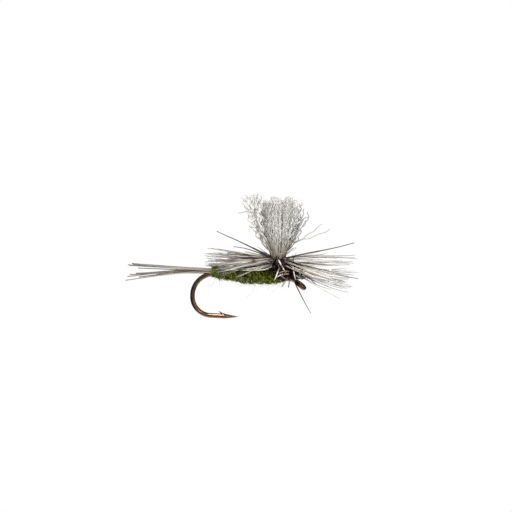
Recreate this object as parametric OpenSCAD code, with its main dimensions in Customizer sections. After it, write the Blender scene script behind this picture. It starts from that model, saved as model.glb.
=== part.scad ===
// Parachute dry fly tied on a size 14 down-eye hook.
// Millimetres. The origin is the centre of the hook eye, +X points forwards out of the eye's
// end of the hook, +Z points up the wing post, and the shank lies along X above the origin.

/* [Hook] */
// Diameter of the hook wire
wire_d = 0.45; // [0.4:0.01:0.48]
// Inner diameter of the eye
eye_bore_d = 0.60; // [0.5:0.01:0.64]
// Diameter of the wire where it is rolled into the eye
eye_wire_d = 0.38; // [0.32:0.01:0.4]
// Angle that the eye is turned down from the shank
eye_angle = 36; // [30:1:42]
// Distance from the centre of the eye to the elbow where it meets the shank
neck_len = 1.18; // [1.12:0.01:1.25]
// Length of the shank between the elbow and the bend
shank_len = 8.0; // [7.8:0.1:8.4]
// Distance between the axes of the shank and the spear
gape = 4.40; // [4.3:0.01:4.6]
// Length of the straight spear before the needle point
spear_len = 1.5; // [1.2:0.1:2]
// Length of the needle point
point_len = 1.5; // [1:0.1:1.8]

/* [Tail] */
// Length of the tail behind the end of the straight shank
tail_len = 8.9; // [7:0.1:9.5]
// Diameter of one tail fibre at its root
tail_fibre_d = 0.07; // [0.05:0.01:0.08]

/* [Body] */
// Radius of the dubbed body at its rear end
body_rear_r = 0.62; // [0.6:0.01:0.7]
// Radius of the dubbed body at its thickest
body_front_r = 1.00; // [0.95:0.01:1.02]
// Number of turns of dubbing behind the post
dubbing_turns = 7; // [5:1:9]
// Diameter of the tying thread
thread_d = 0.08; // [0.06:0.01:0.08]

/* [Wing post] */
// Radius of the yarn where it is wrapped with thread
post_r = 0.52; // [0.45:0.01:0.54]
// Height of the wing's top above the eye
wing_top = 9.2; // [8.5:0.1:10]
// Half width of the spread yarn along the hook
wing_half_x = 2.1; // [1.5:0.1:2.5]
// Half width of the spread yarn across the hook
wing_half_y = 1.5; // [1:0.1:2]

/* [Hackle] */
// Number of turns of the hackle round the post
hackle_turns = 5; // [4:1:5]
// Number of barbs on one turn
barbs_per_turn = 20; // [12:2:22]
// Length of a hackle barb
barb_len = 7.6; // [6:0.1:8]
// Diameter of the quill at the start of its winding
quill_d = 0.13; // [0.1:0.01:0.14]
// Diameter of a barb at its root
barb_d = 0.07; // [0.06:0.01:0.07]

/* [Hidden] */
$fn = 48;
wire_r = wire_d / 2;
thread_r = thread_d / 2;
quill_r = quill_d / 2;
fit_gap = 0.01;
overshoot = 1;

// Hook
neck_dir = [-cos(eye_angle), 0, sin(eye_angle)];
elbow_x = -neck_len * cos(eye_angle);
shank_z = neck_len * sin(eye_angle);
elbow_r = 0.45;
elbow_cut = elbow_r * tan(eye_angle / 2);
shank_front_x = elbow_x - elbow_cut;
bend_x = elbow_x - shank_len;
upper_bend_r = 2.3;
lower_bend_r = 1.95;
heel_len = gape - upper_bend_r - lower_bend_r;
heel_x = bend_x - upper_bend_r;
spear_x = heel_x + lower_bend_r;
spear_z = shank_z - gape;
point_x = spear_x + spear_len;
point_tip_r = 0.012;
hook_barb_cut = 0.18;
hook_barb_tip = [-0.67, 0.52];
hook_barb_root = [-0.42, 0.1];
hook_barb_front = [0.1, 0.1];

// Thread base, and the bundles bound on top of it
base_r = wire_r + thread_d;
base_x0 = bend_x + 0.1;
groove = 0.02;
bound_pitch = 0.2;
bound_steps = 16;
bound_sides = 5;
tail_fibres = 14;
tail_inner_ring = 6;
tail_bundle_r = 0.20;
tail_ring_start = [15, 10];
tail_root_ring = [0.085, 0.165];
tail_fan_y = [0.45, 0.85];
tail_fan_z = [0.1, 0.22];
tail_split = 0.4;
tail_len_spread = 0.06;
tail_droop = 0.52;
tail_tip_r = 0.015;
tail_root_x = bend_x + 0.05;
tail_butt_x = tail_root_x + 2.2;
tail_rise = base_r + tail_bundle_r;
butt_gap = 0.1;
tail_wraps_x0 = tail_root_x + 0.15;
tail_wraps_x1 = tail_butt_x + butt_gap;
yarn_r = 0.27;
yarn_rise = base_r + yarn_r;

// Post
post_x = -2.4;
post_turn_r = 0.55;
yarn_butt_x = post_x - 3.2;
yarn_wraps_x0 = yarn_butt_x + 0.5;
yarn_wraps_x1 = post_x - 0.9;
post_wrap_r = post_r + 0.14;
post_wrap_pitch = 0.1;
post_wrap_z0 = 2.02;
post_wrap_z1 = 3.3;
tuft_neck_r = 0.62;
tuft_lean = 0.5;

// Hackle
hackle_z = post_wrap_z0 + 0.09;
hackle_pitch = quill_d;
quill_steps = 24;
quill_tip = 0.55;
front_gap = 5.5;
hackle_spread = 10;
hackle_tip = 5;
turn_stagger = 0.31;
barb_wander = 1.5;
barb_len_spread = 0.06;
rear_sector = 45;
barb_gap = 0.02;
barb_tip_r = 0.014;
golden = 137.508;

// Dubbed body, wound on an axis above the shank because the bundles lie on top of it
body_z = shank_z + 0.28;
body_overhang = 0.28;
body_rear_x = bend_x - body_overhang;
body_split_x = post_x - post_r - 0.13;
body_nose_x = shank_front_x - 0.40;
body_nose_r = 0.50;
lump_depth = 0.07;
lump_points = 5;

// Head
head_r = 0.40;
cement_x0 = body_nose_x + 0.18;
cement_skin = 0.03;
cement_bevel = 0.04;
cement_edge = 0.06;
cement_nose = 0.08;

function unit(v) = v / norm(v);
function fraction(x) = x - floor(x);

// A tube along path. radii holds, for each point, the radius across ref and the one along it.
module sweep(path, radii, sides, ref) {
    n = len(path);
    points = [for (i = [0:n - 1])
        let(
            t = unit(path[min(i + 1, n - 1)] - path[max(i - 1, 0)]),
            u = unit(cross(ref, t)),
            v = cross(t, u))
        for (k = [0:sides - 1])
            let(a = 360 * k / sides)
            path[i] + radii[i][0] * cos(a) * u + radii[i][1] * sin(a) * v];
    walls = [for (i = [0:n - 2], k = [0:sides - 1])
        let(a = i * sides + k, b = i * sides + (k + 1) % sides)
        each [[a, a + sides, b], [b, a + sides, b + sides]]];
    first_cap = [for (k = [0:sides - 1]) k];
    last_cap = [for (k = [sides - 1:-1:0]) (n - 1) * sides + k];
    polyhedron(points, concat(walls, [first_cap, last_cap]));
}

// Outline of a sleeve of touching thread wraps: [distance along the axis, radius]
function wrapped_outline(x0, x1, inner, outer, pitch) =
    let(n = round((x1 - x0) / pitch), step = (x1 - x0) / n)
    concat(
        [[x0, inner]],
        [for (i = [0:n - 1]) each [
            [x0 + i * step, outer - groove],
            [x0 + (i + 0.25) * step, outer],
            [x0 + (i + 0.75) * step, outer]]],
        [[x1, outer - groove], [x1, inner]]);

// Turned solid round an axis along X
module turned(outline) rotate([0, 90, 0]) rotate_extrude() polygon([for (p = outline) [p[1], p[0]]]);

module at_shank() translate([0, 0, shank_z]) children();

// One wire: the rolled eye with a true bore, the neck, shank, round bend, spear, point and barb
module hook() color([0.27, 0.17, 0.11]) {
    land = 15;
    eye_wire_r = eye_wire_d / 2;
    eye_r = eye_bore_d / 2 + eye_wire_r * cos(land);
    rotate([0, eye_angle, 0]) rotate_extrude()
        polygon([for (a = [land:2 * land:360]) [eye_r + eye_wire_r * cos(a), eye_wire_r * sin(a)]]);
    translate(eye_r * neck_dir) rotate([0, eye_angle - 90, 0])
        cylinder(r1 = eye_wire_r, r2 = wire_r, h = neck_len - elbow_cut - eye_r);
    wire_bend([shank_front_x, shank_z - elbow_r], elbow_r, 90 - eye_angle, eye_angle);
    straight_wire([shank_front_x, shank_z], -90, shank_front_x - bend_x);
    wire_bend([bend_x, shank_z - upper_bend_r], upper_bend_r, 90, 90);
    straight_wire([heel_x, shank_z - upper_bend_r], 180, heel_len);
    wire_bend([spear_x, spear_z + lower_bend_r], lower_bend_r, 180, 90);
    straight_wire([spear_x, spear_z], 90, spear_len);
    translate([point_x, 0, spear_z]) rotate([0, 90, 0])
        cylinder(r1 = wire_r, r2 = point_tip_r, h = point_len);
    translate([point_x, hook_barb_cut / 2, spear_z]) rotate([90, 0, 0])
        linear_extrude(hook_barb_cut) polygon([hook_barb_front, hook_barb_tip, hook_barb_root]);
}

// Straight wire in the plane of the hook, running in the direction angle, where 90 is forwards
module straight_wire(start, angle, len)
    translate([start[0], 0, start[1]]) rotate([0, angle, 0]) cylinder(r = wire_r, h = len);

// Round bend of the wire in the plane of the hook
module wire_bend(centre, r, start, turn)
    translate([centre[0], 0, centre[1]]) rotate([90, 0, 0]) rotate([0, 0, start])
        rotate_extrude(angle = turn) translate([r, 0]) circle(wire_r);

// Layer of touching thread wraps on the bare shank
module thread_base() color([0.50, 0.50, 0.30])
    at_shank() turned(wrapped_outline(base_x0, shank_front_x, wire_r, base_r, bound_pitch));

// Thread wound round the thread base and a bundle whose axis lies a height rise above the shank
module bound_winding(x0, x1, bundle_r, rise) {
    push = 1 / cos(180 / bound_steps);
    low_r = (base_r + thread_r) * push;
    high_r = (bundle_r + thread_r) * push;
    steps = round((x1 - x0) / bound_pitch) * bound_steps;
    path = [for (i = [0:steps])
        let(
            a = 360 * i / bound_steps,
            high = high_r + rise * sin(a) > low_r,
            r = high ? high_r : low_r)
        [x0 + (x1 - x0) * i / steps, r * cos(a), r * sin(a) + (high ? rise : 0)]];
    at_shank() sweep(path, [for (p = path) [thread_r, thread_r]], bound_sides, [1, 0, 0]);
}

// One fibre of the tail: its butt lies bound on the shank and the rest fans out to the rear, in an
// upper or a lower sheaf. A fibre that lies higher in the bundle ends higher, so none cross.
module tail_fibre(i) color([0.66, 0.63, 0.59]) {
    ring = i - 2 < tail_inner_ring ? 0 : 1;
    ring_count = ring == 0 ? tail_inner_ring : tail_fibres - 1 - tail_inner_ring;
    a = tail_ring_start[ring] + 360 * i / ring_count;
    side = i == 1 ? [0, 0] : [cos(a), sin(a)];
    root = side * tail_root_ring[ring];
    sheaf = side[1] > 0 ? tail_split : -tail_split;
    tip = [side[0] * tail_fan_y[ring], side[1] * tail_fan_z[ring] + sheaf - tail_droop];
    reach = tail_len * (1 + tail_len_spread * sin(golden * i));
    root_r = tail_fibre_d / 2;
    path = [
        [tail_butt_x, root[0], tail_rise + root[1]],
        [tail_root_x, root[0], tail_rise + root[1]],
        [tail_root_x - reach, tip[0], tail_rise + tip[1]]];
    at_shank() sweep(path, [for (r = [root_r, root_r, tail_tip_r]) [r, r]], 6, [0, 0, 1]);
}

module tail_tie_wraps() color([0.50, 0.50, 0.30])
    bound_winding(tail_wraps_x0, tail_wraps_x1, tail_bundle_r, tail_rise);

// Poly yarn: a thin butt bound along the shank, the upright post and the spread tuft
module wing_post_yarn() color([0.84, 0.83, 0.81]) {
    yarn_z = shank_z + yarn_rise;
    butt = [for (s = [0:3]) [yarn_butt_x + (post_x - post_turn_r - yarn_butt_x) * s / 3, 0, yarn_z]];
    turn = [for (a = [-60, -30, 0])
        [post_x - post_turn_r + post_turn_r * cos(a), 0, yarn_z + post_turn_r * (1 + sin(a))]];
    post = [for (z = [post_wrap_z0, post_wrap_z1]) [post_x, 0, z]];
    tuft = [for (s = [0.10, 0.21, 0.43, 0.64, 0.82, 0.93, 1])
        [post_x - tuft_lean * s, 0, post_wrap_z1 + (wing_top - post_wrap_z1) * s]];
    bound_radii = [for (k = [0.45, 0.8, 1, 1, 1.1, 1.2, 1.3]) [k * yarn_r, k * yarn_r]];
    tuft_radii = [for (k = [0.32, 0.46, 0.62, 0.88, 1, 0.86, 0.45])
        [tuft_neck_r + (wing_half_x - tuft_neck_r) * k, tuft_neck_r + (wing_half_y - tuft_neck_r) * k]];
    sweep(
        concat(butt, turn, post, tuft),
        concat(bound_radii, [[post_r, post_r], [post_r, post_r]], tuft_radii),
        16, [0, 1, 0]);
}

module wing_tie_wraps() color([0.50, 0.50, 0.30])
    bound_winding(yarn_wraps_x0, yarn_wraps_x1, yarn_r, yarn_rise);

// Thread wraps that stiffen the foot of the post
module post_base_wraps() color([0.59, 0.56, 0.44])
    translate([post_x, 0, 0]) rotate_extrude()
        polygon([for (p = wrapped_outline(post_wrap_z0, post_wrap_z1, post_r, post_wrap_r, post_wrap_pitch))
            [p[1], p[0]]]);

// The quill tapers along its winding; t is the number of turns from its start
function quill_radius(t) = quill_r * (1 - (1 - quill_tip) * t / hackle_turns);

// Wound quill of the hackle feather, and its tip drawn down to the head
module hackle_quill() color([0.78, 0.74, 0.66]) {
    push = 1 / cos(180 / quill_steps);
    steps = hackle_turns * quill_steps;
    winding = [for (i = [0:steps])
        let(t = i / quill_steps, r = (post_wrap_r + quill_radius(t)) * push)
        [post_x + r * cos(360 * t), r * sin(360 * t), hackle_z + hackle_pitch * t]];
    top_z = hackle_z + hackle_pitch * hackle_turns;
    front_x = post_x + post_wrap_r;
    tip_r = quill_radius(hackle_turns);
    run = [
        [front_x + 0.14, 0.09, top_z + 0.03],
        [front_x + 0.24, 0.03, top_z - 0.12],
        [front_x + 0.36, 0, hackle_z + 0.2],
        [body_nose_x + 0.2, 0, shank_z + 1.3],
        [body_nose_x + 0.15, 0, shank_z + head_r + 0.3],
        [body_nose_x + 0.08, 0, shank_z + head_r + tip_r + fit_gap]];
    radii = concat(
        [for (i = [0:steps]) let(r = quill_radius(i / quill_steps)) [r, r]],
        [for (p = run) [tip_r, tip_r]]);
    sweep(concat(winding, run), radii, 6, [0.1, 1, 8]);
}

// The barbs that stand out from one turn of the quill. The hackle is tipped a little to the front,
// and its rear barbs lie no lower than level, clear of the body.
module hackle_barbs(turn) color([0.62, 0.59, 0.57]) {
    for (k = [0:barbs_per_turn - 1]) {
        wander = sin(golden * (k + turn * barbs_per_turn));
        azimuth = front_gap + (360 - 2 * front_gap) * fraction((k + turn_stagger * turn) * golden / 360);
        t = turn - 1 + azimuth / 360;
        lift = hackle_spread * (2 * (turn - 1) / (hackle_turns - 1) - 1) - hackle_tip * cos(azimuth);
        over_body = abs(azimuth - 180) < rear_sector;
        rise = barb_wander * wander + (over_body ? max(lift, 0) : lift);
        root_r = post_wrap_r + 2 * quill_radius(t) + barb_gap;
        len = barb_len * (1 - barb_len_spread * abs(wander));
        translate([post_x, 0, hackle_z + hackle_pitch * t]) rotate([0, 0, azimuth])
            translate([root_r, 0, 0]) rotate([0, 90 - rise, 0])
                cylinder(r1 = barb_d / 2, r2 = barb_tip_r, h = len, $fn = 6);
    }
}

// Outline of a dubbed part between x0 and x1 with n turns: radius r0 to r1 along a quarter sine,
// fast at first if ease is true
function dubbed_outline(x0, x1, n, r0, r1, ease) =
    concat(
        [[x0, fit_gap]],
        [for (i = [0:n * lump_points])
            let(
                s = i / (n * lump_points),
                r = r0 + (r1 - r0) * (ease ? sin(90 * s) : 1 - cos(90 * s)))
            [x0 + (x1 - x0) * s, r - lump_depth * (1 - abs(sin(180 * i / lump_points)))]],
        [[x1, fit_gap]]);

// Space along the shank between x0 and x1 for the thread base and a wrapped bundle on it
module bundle_space(x0, x1, bundle_r, rise) {
    pad = thread_d + 2 * fit_gap;
    at_shank() translate([x0, 0, 0]) rotate([90, 0, 90]) linear_extrude(x1 - x0) hull() {
        circle(base_r + pad);
        translate([0, rise]) circle(bundle_r + pad);
    }
}

module base_space() at_shank() translate([body_rear_x - overshoot, 0, 0]) rotate([0, 90, 0])
    cylinder(r = base_r + fit_gap, h = body_nose_x - body_rear_x + 2 * overshoot);

// Body of dubbing behind the post, wound over the tail and wing butts
module dubbed_abdomen() color([0.29, 0.36, 0.08])
    difference() {
        translate([0, 0, body_z])
            turned(dubbed_outline(
                body_rear_x, body_split_x, dubbing_turns, body_rear_r, body_front_r, true));
        base_space();
        bundle_space(body_rear_x - overshoot, tail_wraps_x1 + butt_gap, tail_bundle_r, tail_rise);
        bundle_space(yarn_butt_x - butt_gap, body_split_x + overshoot, yarn_r, yarn_rise);
    }

// Body of dubbing round the foot of the post, tapering to the head
module dubbed_thorax() color([0.26, 0.31, 0.08])
    difference() {
        translate([0, 0, body_z])
            turned(dubbed_outline(
                body_split_x + fit_gap, body_nose_x, 2, body_front_r, body_nose_r, false));
        base_space();
        bundle_space(body_split_x - overshoot, post_x, yarn_r, yarn_rise);
        translate([post_x, 0, shank_z]) cylinder(r = post_r + fit_gap, h = post_wrap_z1 - shank_z);
    }

// Thread head behind the eye
module thread_head() color([0.16, 0.13, 0.08])
    at_shank() turned(wrapped_outline(
        body_nose_x + fit_gap, shank_front_x, base_r, head_r, bound_pitch / 2));

// Coat of cement over the front of the thread head
module head_cement() color([0.30, 0.24, 0.15, 0.6])
    at_shank() turned([
        [cement_x0, head_r],
        [cement_x0 + cement_bevel, head_r + cement_skin],
        [shank_front_x + fit_gap, head_r + cement_skin],
        [shank_front_x + cement_edge, head_r - cement_edge],
        [shank_front_x + cement_nose, wire_r + 2 * fit_gap],
        [shank_front_x, wire_r + 2 * fit_gap],
        [shank_front_x, head_r]]);

hook();
thread_base();
for (i = [1:tail_fibres]) tail_fibre(i);
tail_tie_wraps();
wing_post_yarn();
wing_tie_wraps();
post_base_wraps();
hackle_quill();
for (i = [1:hackle_turns]) hackle_barbs(i);
dubbed_abdomen();
dubbed_thorax();
thread_head();
head_cement();
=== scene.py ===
"""Visual model of a parachute dry fly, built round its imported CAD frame.

Shapes are worked out in millimetres in the row's frame: the origin is the centre of the hook
eye, +X runs forwards, +Z up through the wing post, and the camera looks from -Y. A mesh is
scaled to metres as it is written.
"""

import math

import bpy
import numpy as np
from mathutils import Matrix, Vector, noise


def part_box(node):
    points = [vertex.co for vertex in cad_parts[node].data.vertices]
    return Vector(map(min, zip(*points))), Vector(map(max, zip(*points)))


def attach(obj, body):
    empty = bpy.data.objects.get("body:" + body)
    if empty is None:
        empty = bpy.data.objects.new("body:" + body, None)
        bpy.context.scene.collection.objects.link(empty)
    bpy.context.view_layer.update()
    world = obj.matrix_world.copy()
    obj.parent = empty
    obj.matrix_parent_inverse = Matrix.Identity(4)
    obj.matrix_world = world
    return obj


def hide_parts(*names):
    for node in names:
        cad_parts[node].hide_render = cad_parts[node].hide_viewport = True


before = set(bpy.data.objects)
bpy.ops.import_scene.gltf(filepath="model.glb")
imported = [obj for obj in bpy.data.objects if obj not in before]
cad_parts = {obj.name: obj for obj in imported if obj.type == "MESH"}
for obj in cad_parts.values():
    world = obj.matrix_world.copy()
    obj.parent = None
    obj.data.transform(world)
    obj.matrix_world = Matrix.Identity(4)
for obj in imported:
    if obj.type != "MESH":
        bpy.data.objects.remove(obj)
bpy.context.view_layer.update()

MM = 0.001
rng = np.random.default_rng(14)


# ---------------------------------------------------------------- places taken from the CAD

def box_mm(node):
    """The low and high corner of a CAD node's box, in millimetres."""
    low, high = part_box(node)
    return np.array(low) / MM, np.array(high) / MM


hook_low, hook_high = box_mm("hook")
base_low, base_high = box_mm("thread_base")
post_low, post_high = box_mm("post_base_wraps")
body_low, body_high = box_mm("dubbed_abdomen")
wing_high = box_mm("wing_post_yarn")[1]
head_low, head_high = box_mm("thread_head")

SHANK_Z = (base_low[2] + base_high[2]) / 2
WIRE_R = hook_high[2] - SHANK_Z
SPEAR_Z = hook_low[2] + WIRE_R
HEEL_X = hook_low[0] + WIRE_R
POST_X = (post_low[0] + post_high[0]) / 2
POST_R = (post_high[0] - post_low[0]) / 2
POST_Z0, POST_Z1 = post_low[2], post_high[2]
WING_TOP = wing_high[2]
BODY_REAR, BODY_SPLIT = body_low[0], body_high[0]
HEAD_X0, HEAD_X1 = head_low[0], head_high[0]


# ---------------------------------------------------------------- meshes

def unit(v):
    """Vectors scaled to length 1."""
    return v / np.maximum(np.linalg.norm(v, axis=-1, keepdims=True), 1e-12)


def smoothstep(x, low, high):
    """0 below low, 1 above high, and a smooth rise between them."""
    t = np.clip((x - low) / (high - low), 0, 1)
    return t * t * (3 - 2 * t)


def write_mesh(name, verts, face_groups, scale=MM):
    """A smooth mesh of numpy vertices and of face arrays with any number of corners."""
    mesh = bpy.data.meshes.new(name)
    corners = np.concatenate([f.ravel() for f in face_groups])
    counts = np.concatenate([np.full(len(f), f.shape[1]) for f in face_groups])
    starts = np.concatenate([[0], np.cumsum(counts)[:-1]])
    mesh.vertices.add(len(verts))
    mesh.vertices.foreach_set("co", (verts * scale).astype(np.float32).ravel())
    mesh.loops.add(len(corners))
    mesh.loops.foreach_set("vertex_index", corners.astype(np.int32))
    mesh.polygons.add(len(counts))
    mesh.polygons.foreach_set("loop_start", starts.astype(np.int32))
    mesh.update(calc_edges=True)
    mesh.shade_smooth()
    return mesh


def tube_arrays(paths, radii, sides, flat=1.0):
    """Vertices and faces of N tubes with M rings each. flat narrows them across one way."""
    count, rings, _ = paths.shape
    tangent = unit(np.gradient(paths, axis=1))
    upright = np.abs(tangent[:, 0, 2:3]) > 0.8
    across = np.cross(np.where(upright, [1.0, 0, 0], [0, 0, 1.0]), tangent[:, 0])
    us, vs = np.empty_like(paths), np.empty_like(paths)
    for i in range(rings):
        along = tangent[:, i]
        across = unit(across - (across * along).sum(1, keepdims=True) * along)
        us[:, i], vs[:, i] = across, np.cross(along, across)
    angle = 2 * np.pi * np.arange(sides) / sides
    ring = us[:, :, None] * np.cos(angle)[:, None] + flat * vs[:, :, None] * np.sin(angle)[:, None]
    verts = paths[:, :, None] + radii[:, :, None, None] * ring
    index = np.arange(count * rings * sides).reshape(count, rings, sides)
    near, far = index[:, :-1], index[:, 1:]
    walls = np.stack([near, np.roll(near, -1, 2), np.roll(far, -1, 2), far], -1).reshape(-1, 4)
    caps = np.concatenate([index[:, 0, ::-1], index[:, -1]])
    return verts.reshape(-1, 3), [walls, caps]


def strands(name, paths, radii, sides, tone=None):
    """One mesh of many tubes, with 'along' from 0 to 1 on each and a 'tone' of its own."""
    count, rings, _ = paths.shape
    radii = np.broadcast_to(radii, (count, rings))
    verts, faces = tube_arrays(paths, radii, sides)
    mesh = write_mesh(name, verts, faces)
    tone = rng.random(count) if tone is None else np.broadcast_to(tone, count)
    along = np.broadcast_to(np.linspace(0, 1, rings)[None, :, None], (count, rings, sides))
    tones = np.broadcast_to(np.asarray(tone)[:, None, None], (count, rings, sides))
    for key, values in (("along", along), ("tone", tones)):
        layer = mesh.attributes.new(key, "FLOAT", "POINT")
        layer.data.foreach_set("value", np.ascontiguousarray(values, dtype=np.float32).ravel())
    return mesh


def resample(points, count):
    """count points evenly spaced along a polyline."""
    points = np.asarray(points, float)
    steps = np.linalg.norm(np.diff(points, axis=0), axis=1)
    reach = np.concatenate([[0], np.cumsum(steps)])
    at = np.linspace(0, reach[-1], count)
    return np.stack([np.interp(at, reach, points[:, k]) for k in range(3)], 1)


CURVE_STEPS = 24


def curve(points, count):
    """count points on a smooth curve through a few points."""
    points = np.asarray(points, float)
    ends = np.concatenate([[2 * points[0] - points[1]], points, [2 * points[-1] - points[-2]]])
    out = []
    for a, b, c, d in zip(ends[:-3], ends[1:-2], ends[2:-1], ends[3:]):
        t = np.linspace(0, 1, CURVE_STEPS, endpoint=False)[:, None]
        out.append(0.5 * (2 * b + (c - a) * t + (2 * a - 5 * b + 4 * c - d) * t**2
                          + (3 * b - a - 3 * c + d) * t**3))
    return resample(np.concatenate(out + [points[-1:]]), count)


def fused(name, tubes, voxel, smooth_steps):
    """Overlapping tubes, given as (path, radii, sides, flat), remeshed into one smooth skin."""
    verts, walls, offset = [], [], 0
    for path, radii, sides, flat in tubes:
        v, faces = tube_arrays(np.asarray(path)[None], np.asarray(radii)[None], sides, flat)
        verts.append(v)
        walls += [f + offset for f in faces]
        offset += len(v)
    mesh = write_mesh(name, np.concatenate(verts), walls, scale=1.0)
    return refined(name, mesh, voxel, smooth_steps)


def refined(name, mesh, voxel, smooth_steps):
    """A mesh in millimetres, voxel remeshed and smoothed, and scaled to metres."""
    worker = bpy.data.objects.new(name + "_worker", mesh)
    bpy.context.scene.collection.objects.link(worker)
    remesh = worker.modifiers.new("skin", "REMESH")
    remesh.mode, remesh.voxel_size = "VOXEL", voxel
    smooth = worker.modifiers.new("smooth", "SMOOTH")
    smooth.iterations, smooth.factor = smooth_steps, 0.5
    result = bpy.data.meshes.new_from_object(
        worker.evaluated_get(bpy.context.evaluated_depsgraph_get()))
    bpy.data.objects.remove(worker)
    result.name = name
    result.transform(Matrix.Scale(MM, 4))
    result.shade_smooth()
    return result


def piece(name, mesh, material, slot, *nodes):
    """A finished piece of the fly. It stands for the named CAD nodes, if there are any."""
    obj = bpy.data.objects.new(name, mesh)
    bpy.context.scene.collection.objects.link(obj)
    mesh.materials.clear()
    mesh.materials.append(material)
    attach(obj, "root")
    if nodes:
        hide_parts(*nodes)


# ---------------------------------------------------------------- materials

class Shader:
    """A procedural Principled material, with short calls for the nodes that it needs."""

    def __init__(self, name, roughness, metallic=0.0, coat=0.0, sheen=0.0, specular=0.5):
        self.material = bpy.data.materials.new(name)
        self.material.use_nodes = True
        self.tree = self.material.node_tree
        self.surface = self.tree.nodes["Principled BSDF"]
        self.set("Roughness", roughness)
        self.set("Metallic", metallic)
        self.set("Coat Weight", coat)
        self.set("Sheen Weight", sheen)
        self.set("Specular IOR Level", specular)

    def set(self, socket, value):
        self.surface.inputs[socket].default_value = value

    def drive(self, socket, output):
        self.tree.links.new(output, self.surface.inputs[socket])

    def node(self, kind, **values):
        node = self.tree.nodes.new(kind)
        for key, value in values.items():
            setattr(node, key, value)
        return node

    def link(self, output, node, socket):
        self.tree.links.new(output, node.inputs[socket])

    def attribute(self, name):
        return self.node("ShaderNodeAttribute", attribute_name=name).outputs["Fac"]

    def noise(self, per_mm, detail, stretch=None):
        """Noise with per_mm features to a millimetre, on coordinates fixed to the object."""
        place = self.node("ShaderNodeTexCoord").outputs["Object"]
        if stretch:
            mapping = self.node("ShaderNodeMapping")
            mapping.inputs["Scale"].default_value = stretch
            self.link(place, mapping, "Vector")
            place = mapping.outputs["Vector"]
        texture = self.node("ShaderNodeTexNoise")
        texture.inputs["Scale"].default_value = per_mm / MM
        texture.inputs["Detail"].default_value = detail
        self.link(place, texture, "Vector")
        return texture.outputs["Fac"]

    def ramp(self, fac, *stops):
        """Colours along fac, given as (position, (r, g, b))."""
        node = self.node("ShaderNodeValToRGB")
        elements = node.color_ramp.elements
        while len(elements) < len(stops):
            elements.new(0.5)
        for element, (position, colour) in zip(elements, stops):
            element.position, element.color = position, (*colour, 1)
        self.link(fac, node, "Fac")
        return node.outputs["Color"]

    def blend(self, fac, first, second, mode="MIX"):
        node = self.node("ShaderNodeMix", data_type="RGBA", blend_type=mode)
        for value, socket in ((fac, 0), (first, 6), (second, 7)):
            if isinstance(value, bpy.types.NodeSocket):
                self.tree.links.new(value, node.inputs[socket])
            elif socket == 0:
                node.inputs[socket].default_value = value
            else:
                node.inputs[socket].default_value = (*value, 1)
        return node.outputs[2]

    def bump(self, height, depth_mm, strength):
        node = self.node("ShaderNodeBump")
        node.inputs["Distance"].default_value = depth_mm * MM
        node.inputs["Strength"].default_value = strength
        self.link(height, node, "Height")
        self.drive("Normal", node.outputs["Normal"])


def bronze_wire():
    """Bronzed steel: grey-brown metal in soft patches, under a clear red-brown lacquer."""
    shader = Shader("bronze_wire", roughness=0.2, metallic=1.0, coat=0.4)
    patches = shader.noise(2.5, detail=2)
    shader.drive("Base Color", shader.ramp(
        patches,
        (0.30, (0.072, 0.034, 0.015)), (0.55, (0.112, 0.073, 0.038)), (0.80, (0.17, 0.14, 0.09))))
    shader.set("Coat Roughness", 0.1)
    shader.set("Coat Tint", (0.80, 0.50, 0.34, 1))
    shader.bump(shader.noise(30, detail=3), 0.01, 0.05)
    return shader.material


def thread(name, dark, light):
    """Waxed thread: fine fibres in two close colours."""
    shader = Shader(name, roughness=0.55, sheen=0.2)
    fibres = shader.noise(22, detail=3, stretch=(1, 1, 2.2))
    shader.drive("Base Color", shader.ramp(fibres, (0.3, dark), (0.7, light)))
    shader.bump(fibres, 0.012, 0.6)
    return shader.material


def dubbing(name, dark, mid, light):
    """Fur: each hair has a tone of its own, and patches are painted darker and lighter, as painted
    shade between the tufts and painted highlight on them.
    """
    shader = Shader(name, roughness=0.7, specular=0.15)
    tone = shader.ramp(shader.attribute("tone"), (0.0, dark), (0.5, mid), (1.0, light))
    patches = shader.noise(3.2, detail=4)
    # painted shade and painted highlight: noise patches darken the fur to a tenth and lighten it by up
    # to a third
    painted_tuft_shade = shader.ramp(patches, (0.40, (0.10, 0.11, 0.08)), (0.60, (1.3, 1.3, 1.1)))
    shader.drive("Base Color", shader.blend(1.0, tone, painted_tuft_shade, "MULTIPLY"))
    return shader.material


def shaded_dubbing_core():
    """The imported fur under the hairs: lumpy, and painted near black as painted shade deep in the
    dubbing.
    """
    shader = Shader("shaded_dubbing_core", roughness=0.85, specular=0.1)
    lumps = shader.noise(5, detail=5)
    # painted shade: the core is far darker than the olive hairs over it
    shader.drive("Base Color", shader.ramp(
        lumps,
        (0.35, (0.006, 0.010, 0.001)), (0.6, (0.03, 0.045, 0.003)), (0.8, (0.07, 0.10, 0.006))))
    shader.bump(lumps, 0.08, 0.9)
    return shader.material


def yarn(name, shade):
    """White poly yarn, darkened by shade, a factor of painted shade: each copy is the same yarn drawn
    lighter or darker. It is tan low down, where the wraps pack it.
    """
    shader = Shader(name, roughness=0.5, specular=0.35)
    tone = shader.ramp(
        shader.attribute("tone"),
        (0.0, (0.62, 0.60, 0.565)), (0.5, (0.76, 0.74, 0.70)), (1.0, (0.88, 0.865, 0.835)))
    low = shader.ramp(
        shader.attribute("along"),
        (0.0, (0.42, 0.38, 0.28)), (0.12, (0.60, 0.57, 0.48)), (0.4, (1, 1, 1)))
    # painted shade: the whole yarn is multiplied by shade
    low = shader.blend(1.0, low, (shade, shade, shade), "MULTIPLY")
    shader.drive("Base Color", shader.blend(1.0, tone, low, "MULTIPLY"))
    return shader.material


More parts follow.
